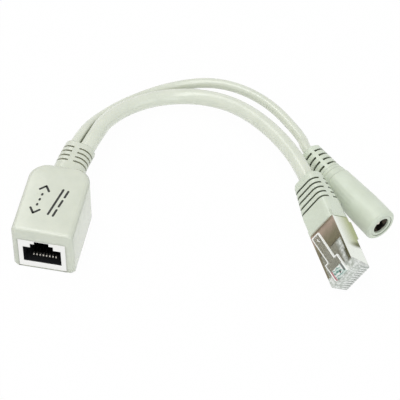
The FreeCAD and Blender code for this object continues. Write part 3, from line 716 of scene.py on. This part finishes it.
        # Away from its root the lever is painted olive: painted shade of the shield seen through
        # it.
        under = tree.blend(root, self.olive, self.root_colour(tree, across, along, flow))
        # Painted highlight: the lever's edges are painted bright.
        on_lever = tree.blend(rim, under, self.bright)
        colour = tree.blend(lever, self.core_colour(tree, place, flow), on_lever)
        veil = tree.surface(Base_Color=colour, Roughness=0.18, Normal=normal, Coat_Weight=0.4)
        mix = {0: cloud.clamped(), 1: glass, 2: veil}
        return tree.close(tree.add("ShaderNodeMixShader", {}, mix))


@dataclass(frozen=True)
class PlatedSheet:
    """Plated sheet metal with fine rolling lines and a slightly uneven face."""

    name: str
    colour: Colour
    roughness: float = 0.2
    line_mm: float = 0.12
    wave_depth: float = 2.5e-5
    pose: Pose = SOCKET_POSE
    wave_mm: float = 5.0
    edge_mm: float = 0.08
    fold_mm: float = 0.12
    rolling: Point = (1.0, 0.08, 1.0)

    def base_colour(self, tree: Shading, here: Signal) -> Signal:
        """Give the plating's colour, a little darker along folds and in corners by painted shade.
        """
        fold_shade = tuple(level * 0.6 for level in self.colour)
        return tree.blend(tree.edges(self.fold_mm * MM) * 0.5, self.colour, fold_shade)

    def metal_share(self, tree: Shading, here: Signal) -> Any:
        """Tell how much of the surface is bare metal."""
        return 1.0

    def material(self) -> Material:
        """Write the finish.

        Returns:
            The material.
        """
        tree = Shading(self.name)
        here = tree.place(self.pose)
        stretch = {0: here, 1: self.rolling}
        rolled = tree.add("ShaderNodeVectorMath", {"operation": "MULTIPLY"}, stretch)
        lines = tree.noise(rolled, self.line_mm * MM, 3.0, 0.7)
        waves = tree.noise(here, self.wave_mm * MM, 2.0, 0.4)
        rounded = tree.soft_edges(self.edge_mm * MM)
        return tree.finish(
            Base_Color=self.base_colour(tree, here),
            Metallic=self.metal_share(tree, here),
            Roughness=lines.ramp(*MOST, self.roughness * 0.7, self.roughness * 1.3),
            Normal=tree.bump(lines * 0.06 + waves, self.wave_depth, rounded),
        )


@dataclass(frozen=True)
class ShieldPlate(PlatedSheet):
    """Plating of the plug's shield with painted reflections: warm and olive above, pale with a
    green cast on the flank.
    """

    # Painted reflections: warm and olive on the top, pale, green and dark on the flank.
    warm: Colour = linear(188, 168, 155)
    olive: Colour = linear(146, 138, 118)
    pale: Colour = linear(232, 236, 228)
    green: Colour = linear(172, 178, 138)
    painted_dark: Colour = linear(96, 98, 72)
    boot_skin: Colour = linear(215, 223, 206)
    boot_start_mm: float = 19.82
    fold_mm: float = 0.15
    waver_mm: float = 3.0
    warm_start_mm: Span = (16.5, 20.0)
    strip_side_mm: float = 4.9
    strip_end_mm: Span = (10.0, 12.5)
    green_start_mm: Span = (7.9, 8.7)
    green_top_mm: Span = (-2.6, 2.4)
    # The middle of the painted dark reflection on the flank, then how far it is full and how far it
    # reaches.
    patch_mm: tuple[float, float, float] = (8.7, 0.4, 1.5)
    patch_top_mm: Span = (-2.2, 1.0)

    def base_colour(self, tree: Shading, here: Signal) -> Signal:
        """Give the plating's colour: each face has its own painted reflection, and painted shade
        darkens folds.

        Args:
            tree: The material's tree.
            here: The place in the plug's frame.

        Returns:
            The colour.
        """
        across, along, up = tree.millimetres(here)
        waver = tree.noise(here, self.waver_mm * MM) * 4.0
        top = tree.facing(self.pose.axis(2)).ramp(0.6, 0.8)
        flank = tree.facing(self.pose.axis(0)).ramp(0.6, 0.8)
        # Painted reflections on the top: olive in front, warm behind, and a dark strip along its
        # right edge in front.
        warmth = (along + waver).ramp(*self.warm_start_mm)
        strip = across.above(self.strip_side_mm) * along.fall(*self.strip_end_mm, 0.8)
        lever_side = tree.blend(strip, tree.blend(warmth, self.olive, self.warm), self.painted_dark)
        # Painted reflections on the flank: pale in front, green further back, with a dark patch.
        green_reflection = along.ramp(*self.green_start_mm) * up.fall(*self.green_top_mm)
        patch = along.near(*self.patch_mm) * up.fall(*self.patch_top_mm)
        beside = tree.blend(patch * 0.9, tree.blend(green_reflection, self.pale, self.green), self.painted_dark)
        face = tree.blend(flank, tree.blend(top, self.colour, lever_side), beside)
        # Painted shade along the folds.
        fold_shade = tuple(level * 0.4 for level in self.warm)
        folded = tree.blend(tree.edges(self.fold_mm * MM) * 0.7, face, fold_shade)
        return tree.blend(along.above(self.boot_start_mm), folded, self.boot_skin)

    def metal_share(self, tree: Shading, here: Signal) -> Signal:
        """Give metal in front of the boot, and the boot's skin over what it covers."""
        return 1.0 - (tree.component(here, "Y") / MM).above(self.boot_start_mm)


@dataclass(frozen=True)
class SpringContact(PlatedSheet):
    """Plating of the jack's springs: it shines at the noses, and painted shade makes it dark in the
    cavity.
    """

    # The colour of the painted shade in the cavity.
    painted_dark: Colour = linear(16, 15, 14)
    nose_mm: Span = (3.2, 4.0)

    def base_colour(self, tree: Shading, here: Signal) -> Signal:
        """Give the plating's colour, with painted shade from the noses inwards."""
        behind = (tree.component(here, "Y") / MM).ramp(*self.nose_mm)
        return tree.blend(behind, self.colour, self.painted_dark)


@dataclass(frozen=True)
class PlainPlastic:
    """Hard moulded plastic of one colour with a fine spark texture."""

    name: str
    colour: Colour
    roughness: float = 0.4
    grain_mm: float = 0.15
    edge_mm: float = 0.07

    def material(self) -> Material:
        """Write the finish.

        Returns:
            The material.
        """
        tree = Shading(self.name)
        here = tree.place()
        grain = tree.noise(here, self.grain_mm * MM, 3.0, 0.6)
        light = tuple(min(1.0, level * 1.25 + 0.004) for level in self.colour)
        return tree.finish(
            Base_Color=tree.blend(grain.ramp(0.35, 0.75), self.colour, light),
            Roughness=grain.ramp(*MOST, self.roughness - 0.05, self.roughness + 0.08),
            Normal=tree.bump(grain, 6e-6, tree.soft_edges(self.edge_mm * MM)),
        )


@dataclass(frozen=True)
class CupPlastic(PlainPlastic):
    """Dark insulator of the power socket's cup, with painted patches of the brown sheen of its
    contacts.
    """

    sheen: Colour = linear(122, 110, 98)
    sheen_mm: float = 1.3

    def material(self) -> Material:
        """Write the finish.

        Returns:
            The material.
        """
        tree = Shading(self.name)
        here = tree.place()
        # Painted sheen: brown patches, a little glossier.
        patches = tree.noise(here, self.sheen_mm * MM, 2.0, 0.6).ramp(0.5, 0.6)
        return tree.finish(
            Base_Color=tree.blend(patches, self.colour, self.sheen),
            Roughness=patches.ramp(0.0, 1.0, self.roughness, self.roughness * 0.6),
            Normal=tree.bump(patches, 2e-5),
        )


@dataclass(frozen=True)
class BandedWire:
    """Insulation of one conductor: a pale ground with a line of colour, or one colour all round."""

    name: str
    colour: Colour
    banded: bool
    pose: Pose
    ground: Colour = linear(226, 226, 218)
    grain_mm: float = 0.3
    band_mm: float = 2.6
    band_share: float = 0.45

    def material(self) -> Material:
        """Write the finish.

        Returns:
            The material.
        """
        tree = Shading(self.name)
        here = tree.place(self.pose)
        grain = tree.noise(here, self.grain_mm * MM)
        skin: Any = self.colour
        if self.banded:
            turns = (tree.component(here, "Y") / (self.band_mm * MM) + grain * 0.2).fraction()
            skin = tree.blend(turns.above(1 - self.band_share), self.ground, self.colour)
        return tree.finish(Base_Color=skin, Roughness=0.3, Normal=tree.bump(grain, 1e-5))


# ---------------- surfaces


def mesh_piece(
    name: str, points: np.ndarray, faces: list[list[int]], material: Material
) -> bpy.types.Object:
    """Make one mesh object.

    Args:
        name: The piece's name.
        points: Its points in metres, in any array whose last axis is three long.
        faces: The point numbers of each face.
        material: Its material.

    Returns:
        The mesh object.
    """
    mesh = bpy.data.meshes.new(name)
    mesh.from_pydata(points.reshape(-1, 3).tolist(), [], faces)
    mesh.materials.append(material)
    mesh.update()
    piece = bpy.data.objects.new(name, mesh)
    bpy.context.scene.collection.objects.link(piece)
    return piece


def prisms(
    name: str, outlines: np.ndarray, levels: Span, pose: Pose, material: Material
) -> bpy.types.Object:
    """Make one mesh of prisms: each outline stands at a low and at a high level.

    Args:
        name: The piece's name.
        outlines: Prisms by points by two, in mm, each anticlockwise seen from above.
        levels: Heights of the lower and of the upper faces, in mm.
        pose: The group that both are measured in.
        material: Its material.

    Returns:
        The mesh object.
    """
    count, sides = outlines.shape[:2]
    points = np.zeros((count, 2, sides, 3))
    points[..., :2] = outlines[:, None]
    points[..., 2] = np.array(levels)[:, None]
    base = (np.arange(count) * 2 * sides)[:, None]
    top = base + sides
    side = np.arange(sides)[None]
    after = (side + 1) % sides
    walls = np.stack([base + side, base + after, top + after, top + side], axis=-1)
    faces = walls.reshape(-1, 4).tolist()
    faces += (top + side).tolist() + (base + side[:, ::-1]).tolist()
    return mesh_piece(name, pose.to_part(points), faces, material)


# ---------------- sub-assemblies


class Smoothing(Enum):
    """How gentle an edge of a solid has to be, in degrees, to be shaded smooth."""

    MOULDED = 50.0
    SHEET = 32.0

    @property
    def group(self) -> bpy.types.NodeTree:
        """Give the node group that welds loose triangles and shades gentle edges smooth.

        Returns:
            The group, made at the first call.
        """
        name = "smooth_" + self.name.lower()
        if name in bpy.data.node_groups:
            return bpy.data.node_groups[name]
        group = bpy.data.node_groups.new(name, "GeometryNodeTree")
        for way in ("INPUT", "OUTPUT"):
            group.interface.new_socket("Geometry", in_out=way, socket_type="NodeSocketGeometry")
        kinds = (
            "NodeGroupInput", "GeometryNodeMergeByDistance", "GeometryNodeSetShadeSmooth",
            "GeometryNodeSetShadeSmooth", "NodeGroupOutput", "GeometryNodeInputMeshEdgeAngle",
            "FunctionNodeCompare",
        )
        start, weld, faces, edges, end, angle, compare = (group.nodes.new(kind) for kind in kinds)
        weld.inputs["Distance"].default_value = 1e-6
        faces.domain, edges.domain = "FACE", "EDGE"
        edges.inputs["Shade Smooth"].default_value = False
        compare.data_type, compare.operation = "FLOAT", "GREATER_THAN"
        compare.inputs["B"].default_value = math.radians(self.value)
        chain = (start, weld, faces, edges, end)
        for before, after in zip(chain, chain[1:]):
            group.links.new(before.outputs[0], after.inputs[0])
        group.links.new(angle.outputs["Unsigned Angle"], compare.inputs["A"])
        group.links.new(compare.outputs["Result"], edges.inputs["Selection"])
        return group


def dress(
    frame: dict[str, Any],
    names: Sequence[str],
    material: Material,
    smoothing: Smoothing = Smoothing.SHEET,
) -> None:
    """Give solids of the part a material and smooth shading over their gentle edges.

    Args:
        frame: What the frame's loader returned.
        names: The solids' names.
        material: The material that they get.
        smoothing: Which edges are gentle.
    """
    for name in names:
        solid = frame["nodes"][name]
        solid.data.materials.clear()
        solid.data.materials.append(material)
        solid.modifiers.new("smooth", "NODES").node_group = smoothing.group
        weighted = solid.modifiers.new("even_faces", "WEIGHTED_NORMAL")
        weighted.keep_sharp = True


def numbered(stem: str) -> list[str]:
    """Give the names of eight like pieces, one for each contact."""
    return [f"{stem}_{index + 1}" for index in range(CONTACTS)]


@dataclass
class Cord:
    """A free cord that follows its route on one smooth line."""

    name: str
    diameter_mm: float
    route_mm: Sequence[Point]
    far_pieces: Sequence[str]
    length_mm: float
    stiffness: str = "medium"
    round_steps: int = 8
    line_steps: int = 24

    def build(self, material: Material) -> bpy.types.Object:
        """Draw the cord as one curve, with its route's points as control points.

        Args:
            material: The sheath's material.

        Returns:
            The curve.
        """
        curve = bpy.data.curves.new(self.name + "_line", "CURVE")
        curve.dimensions = "3D"
        curve.bevel_depth = self.diameter_mm * MM / 2
        curve.bevel_resolution = self.round_steps
        curve.resolution_u = self.line_steps
        curve.use_fill_caps = True
        spline = curve.splines.new("NURBS")
        spline.points.add(len(self.route_mm) - 1)
        middle = np.array([0.0, SOCKET_MIDDLE_MM, 0.0])
        points = (np.array(self.route_mm) - middle) * MM
        spline.points.foreach_set("co", np.column_stack([points, np.ones(len(points))]).ravel())
        spline.order_u = 3
        spline.use_endpoint_u = True
        spline.use_smooth = True
        curve.materials.append(material)
        piece = bpy.data.objects.new(self.name + "_sheath", curve)
        bpy.context.scene.collection.objects.link(piece)
        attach(piece, BODY)
        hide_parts(self.name)
        return piece


@dataclass
class SocketBlock:
    """The moulded network socket with its jack."""

    moulding: BlockMoulding = BlockMoulding(roughness=0.2, gloss=1.0)
    can: PlatedSheet = PlatedSheet("tinned_can", (0.9, 0.9, 0.88), 0.34)
    black: PlainPlastic = PlainPlastic("black_insulator", linear(26, 27, 29), 0.42)
    spring: SpringContact = SpringContact("spring_contact", (0.42, 0.4, 0.36), 0.3, 0.08, 4e-6)
    board: PlainPlastic = PlainPlastic("board_lacquer", linear(38, 96, 58), 0.3)

    def build(self, frame: dict[str, Any]) -> None:
        """Dress the block's solids and print its top.

        Args:
            frame: What the frame's loader returned.
        """
        dress(frame, ["socket_housing"], self.moulding.material(), Smoothing.MOULDED)
        dress(frame, ["jack_shield"], self.can.material())
        dress(frame, ["jack_body", "contact_carrier"], self.black.material())
        dress(frame, ["circuit_board"], self.board.material())
        dress(frame, numbered("jack_contact"), self.spring.material())
        PrintedMarks().build()


@dataclass
class PrintedMarks:
    """Two plain symbols in ink on the block's top: a network port, and direct current."""

    network_mm: tuple[Span, Span] = ((-4.52, 7.08), (-2.92, 18.73))
    power_mm: tuple[Span, Span] = ((0.83, 6.8), (3.55, 18.46))
    top_mm: float = 18.4
    ink_mm: float = 0.015
    stroke_mm: float = 0.72
    height_mm: float = 3.0
    arc_points: int = 9
    speckle_mm: float = 0.12
    ink: Colour = linear(22, 24, 18)

    def strokes(self, line: tuple[Span, Span], marks: Sequence[tuple[float, ...]]) -> np.ndarray:
        """Work out the outlines of strokes with round ends along a line of print.

        An outline is half a circle about the stroke's end and half a circle about its start. Its
        points lie at the stroke's half width from them, at equal turns.

        Args:
            line: Start and end of the line of print, from the middle of the block's front.
            marks: Start and end of each stroke: shares of the line's length along it, and of the
                height across it.

        Returns:
            Strokes by outline points by two, in millimetres.
        """
        start, end = np.array(line[0]), np.array(line[1])
        along = end - start
        left = np.array((-along[1], along[0])) / np.linalg.norm(along) * self.height_mm
        ends = np.array(marks)[:, :, None]
        first = start + ends[:, 0] * along + ends[:, 1] * left
        last = start + ends[:, 2] * along + ends[:, 3] * left
        way = last - first
        turn = np.where(np.abs(way).sum(1) > 0, np.arctan2(way[:, 1], way[:, 0]), 0.0)
        swing = np.linspace(-np.pi / 2, np.pi / 2, self.arc_points)
        angles = np.concatenate([turn[:, None] + swing, turn[:, None] + swing + np.pi], axis=1)
        rim = np.stack([np.cos(angles), np.sin(angles)], axis=2) * self.stroke_mm / 2
        return rim + np.stack([last, first], axis=1).repeat(self.arc_points, axis=1)

    def build(self) -> None:
        """Print both symbols."""
        tree = Shading("print_ink")
        speckle = tree.noise(tree.place(), self.speckle_mm * MM, 3.0, 0.7).ramp(0.45, 0.75)
        worn = tuple(level * 1.8 for level in self.ink)
        ink = tree.finish(Base_Color=tree.blend(speckle, self.ink, worn), Roughness=0.5)
        chevrons = [
            (0.17, 0.5, 0.02, 0.0), (0.02, 0.0, 0.17, -0.5),
            (0.83, 0.5, 0.98, 0.0), (0.98, 0.0, 0.83, -0.5),
        ]
        dots = [(place - 0.015, 0.0, place + 0.015, 0.0) for place in (0.32, 0.5, 0.68)]
        rail = [(0.06, 0.28, 0.94, 0.28)]
        dashes = [(start, -0.28, start + 0.21, -0.28) for start in (0.06, 0.395, 0.73)]
        levels = (self.top_mm - self.ink_mm, self.top_mm + self.ink_mm)
        for name, line, marks in (
            ("print_network_port", self.network_mm, chevrons + dots),
            ("print_direct_current", self.power_mm, rail + dashes),
        ):
            piece = prisms(name, self.strokes(line, marks), levels, SOCKET_POSE, ink)
            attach(piece, BODY)
            LOG.info("printed %s", piece.name)


@dataclass
class CornerFill:
    """The boot's skin where it closes over one rear corner of the shield."""

    name: str
    across_mm: Span
    along_mm: Span = (21.5, 22.0)
    up_mm: Span = (2.3, 3.14)
    pose: Pose = PLUG_POSE

    def build(self, material: Material) -> None:
        """Fill the slit with one small block.

        Args:
            material: The boot's moulding.
        """
        (left, right), (front, back) = self.across_mm, self.along_mm
        ring = np.array([[[left, front], [right, front], [right, back], [left, back]]])
        piece = prisms(self.name, ring, self.up_mm, self.pose, material)
        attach(piece, BODY)
        LOG.info("filled %s", piece.name)


@dataclass
class NetworkPlug:
    """The clear plug with its shield, blades, conductors and boot."""

    pose: Pose = PLUG_POSE
    clear: ClearPlastic = ClearPlastic()
    # The third colour is the painted shade in the boot's grooves.
    moulding: SoftMoulding = SoftMoulding("cool_moulding", *COOL_SKIN, linear(92, 98, 74))
    corners: tuple[CornerFill, ...] = (
        CornerFill("boot_corner_right", (5.3, 5.835)),
        CornerFill("boot_corner_left", (-5.835, -5.3)),
    )
    shield: ShieldPlate = ShieldPlate(
        "shield_plate", linear(200, 198, 188), 0.22, 0.12, 2e-5, PLUG_POSE
    )
    gold: PlatedSheet = PlatedSheet("gold_contact", (0.86, 0.68, 0.36), 0.22, 0.08, 4e-6)
    colours: Sequence[Colour] = (
        linear(206, 96, 84), linear(196, 70, 62), linear(92, 168, 142), linear(64, 116, 150),
        linear(96, 150, 176), linear(48, 130, 100), linear(150, 110, 96), linear(110, 74, 60),
    )

    def build(self, frame: dict[str, Any]) -> None:
        """Dress the plug's solids and close its boot's corners.

        Args:
            frame: What the frame's loader returned.
        """
        moulding = self.moulding.material()
        dress(frame, ["plug_boot"], moulding)
        for corner in self.corners:
            corner.build(moulding)
        dress(frame, ["plug_body"], self.clear.material())
        dress(frame, ["plug_shield"], self.shield.material())
        dress(frame, numbered("plug_blade"), self.gold.material())
        for index, name in enumerate(numbered("plug_wire")):
            banded = index % 2 == 0
            wire = BandedWire(f"conductor_{index + 1}", self.colours[index], banded, self.pose)
            dress(frame, [name], wire.material())


@dataclass
class BarrelSocket:
    """The barrel power socket."""

    # The third colour is the painted shade in the grooves and along the rings.
    moulding: RingedMoulding = RingedMoulding(
        "ringed_moulding", *COOL_SKIN, linear(94, 99, 76), roughness=0.4, gloss=0.6
    )
    cup: CupPlastic = CupPlastic("cup_insulator", linear(22, 19, 16), 0.35)
    pin: PlatedSheet = PlatedSheet("pin_plate", (0.9, 0.84, 0.74), 0.35, 0.08, 3e-6, BARREL_POSE)

    def build(self, frame: dict[str, Any]) -> None:
        """Dress the power socket's solids.

        Args:
            frame: What the frame's loader returned.
        """
        dress(frame, ["barrel_housing"], self.moulding.material())
        dress(frame, ["barrel_core"], self.cup.material())
        dress(frame, ["barrel_pin", "barrel_spring"], self.pin.material())


@dataclass(frozen=True)
class SoftLamp:
    """A flat lamp a metre away: the way to it, its size in metres, its power and its tint."""

    name: str
    way: Point
    size: Span
    watts: float
    tint: Colour = (1.0, 1.0, 1.0)


@dataclass
class Studio:
    """Pale table, soft light and the camera of the photograph."""

    eye_mm: Point = (118.52, -357.71, 484.88)
    aim_mm: Point = (41.80, 37.37, 0.0)
    roll: float = 0.31
    lens_mm: float = 177.17
    sensor_mm: float = 36.0
    table_reach: float = 3.0
    table_colour: Colour = (0.94, 0.94, 0.94)
    white_share: float = 0.975
    sky: float = 0.56
    lit_spot: Point = (0.045, 0.02, 0.0)
    lamp_line: Point = (-0.42, 0.91, 0.0)
    lamps: tuple[SoftLamp, ...] = (
        SoftLamp("soft_box", (-0.2, -0.14, 0.96), (0.38, 1.1), 3.44),
        SoftLamp("back_lamp", (-0.5, 0.45, 0.8), (0.42, 0.6), 1.04),
        SoftLamp("side_lamp", (0.9, -0.25, 0.5), (0.6, 0.6), 0.96, (0.88, 0.97, 1.0)),
        SoftLamp("front_lamp", (0.3, -0.9, 0.3), (0.5, 0.5), 0.96, (0.88, 0.97, 1.0)),
    )

    def build(self) -> None:
        """Set the table, the lamps, the sky and the camera."""
        self.lay_table()
        self.set_lamps()
        self.hang_sky()
        self.set_camera()
        bpy.context.scene.view_settings.view_transform = "Standard"

    def lay_table(self) -> None:
        """Lay a flat table whose face shows white to the camera and still takes shadows."""
        tree = Shading("pale_table")
        plain = tree.add("ShaderNodeBsdfDiffuse", {}, {"Color": (*self.table_colour, 1.0)})
        bright = tree.add("ShaderNodeEmission", {}, {"Color": WHITE, "Strength": 1.0})
        mix = {0: tree.seen() * self.white_share, 1: plain, 2: bright}
        material = tree.close(tree.add("ShaderNodeMixShader", {}, mix))
        corners = np.array([[-1, -1, 0], [1, -1, 0], [1, 1, 0], [-1, 1, 0]]) * self.table_reach
        mesh_piece("table", corners, [[0, 1, 2, 3]], material)

    def set_lamps(self) -> None:
        """Hang a long soft box over the table and three weaker lamps round it.

        Each faces the lit spot, with its second side as near to the lamp line as it can be.
        """
        centre, line = Vector(self.lit_spot), Vector(self.lamp_line)
        for plan in self.lamps:
            away = Vector(plan.way).normalized()
            data = bpy.data.lights.new(plan.name, "AREA")
            data.shape = "RECTANGLE"
            data.size, data.size_y = plan.size
            data.energy, data.color = plan.watts, plan.tint
            level = (line - away * line.dot(away)).normalized()
            turn = Matrix((level.cross(away), level, away)).transposed().to_4x4()
            lamp = bpy.data.objects.new(plan.name, data)
            lamp.matrix_world = Matrix.Translation(centre + away) @ turn
            bpy.context.scene.collection.objects.link(lamp)

    def hang_sky(self) -> None:
        """Fill the rest with an even sky, white where it is seen, mirrored or looked through to."""
        tree = Shading("even_sky", "worlds")
        level = tree.seen().ramp(0.0, 1.0, self.sky, 1.0)
        sky = tree.add("ShaderNodeBackground", {}, {"Color": WHITE, "Strength": level})
        tree.add("ShaderNodeOutputWorld", {}, {"Surface": sky}, None)
        bpy.context.scene.world = tree.owner

    def set_camera(self) -> None:
        """Stand the camera where the photograph was taken."""
        data = bpy.data.cameras.new("camera")
        data.sensor_width, data.lens = self.sensor_mm, self.lens_mm
        data.clip_start, data.clip_end = 0.01, 20.0
        camera = bpy.data.objects.new("camera", data)
        middle = Vector((0.0, SOCKET_MIDDLE_MM, 0.0))
        eye, aim = ((Vector(point) - middle) * MM for point in (self.eye_mm, self.aim_mm))
        turn = (aim - eye).to_track_quat("-Z", "Y").to_matrix().to_4x4()
        turn = turn @ Matrix.Rotation(math.radians(self.roll), 4, "Z")
        camera.matrix_world = Matrix.Translation(eye) @ turn
        bpy.context.scene.collection.objects.link(camera)
        bpy.context.scene.camera = camera


PLUG_PIECES = (
    "plug_body", "plug_shield", "plug_boot", *numbered("plug_blade"), *numbered("plug_wire")
)
BARREL_PIECES = ("barrel_housing", "barrel_core", "barrel_pin", "barrel_spring")

# The routes are the solid tubes', but points 7 to 9 of the thinner cord follow the photograph.
DATA_CORD = Cord(
    "data_cord", 5.2,
    [
        (3.287, 42.525, 9.2), (4.942, 50.312, 9.2), (6.2, 57.8, 7.7), (11.4, 67.2, 5.5),
        (20.4, 75.1, 3.8), (33.6, 77.8, 4.4), (47.6, 73.4, 7.2), (61.0, 63.1, 9.1),
        (71.461, 51.335, 9.485), (75.088, 44.809, 9.033),
    ],
    PLUG_PIECES, 106.5,
)
POWER_CORD = Cord(
    "power_cord", 3.4,
    [
        (-1.037, 43.444, 9.2), (0.521, 50.774, 9.2), (2.8, 60.6, 5.0), (9.8, 72.3, 2.2),
        (23.4, 82.2, 2.6), (39.2, 85.7, 4.4), (56.13, 79.74, 5.0), (69.93, 67.12, 3.5),
        (71.85, 60.94, 5.42), (73.656, 59.216, 5.42),
    ],
    BARREL_PIECES, 109.5,
)


def main(frame: dict[str, Any]) -> None:
    """Build each group in turn and report it.

    Args:
        frame: What the frame's loader returned.
    """
    logging.basicConfig(level=logging.INFO, format="%(name)s: %(message)s")
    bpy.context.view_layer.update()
    Studio().build()
    sheath = CordSheath().material()
    for cord in (DATA_CORD, POWER_CORD):
        piece = cord.build(sheath)
        LOG.info("laid %s", piece.name)
    for group in (SocketBlock(), NetworkPlug(), BarrelSocket()):
        group.build(frame)
        LOG.info("dressed %s", type(group).__name__)


if __name__ == "__main__":
    main(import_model())
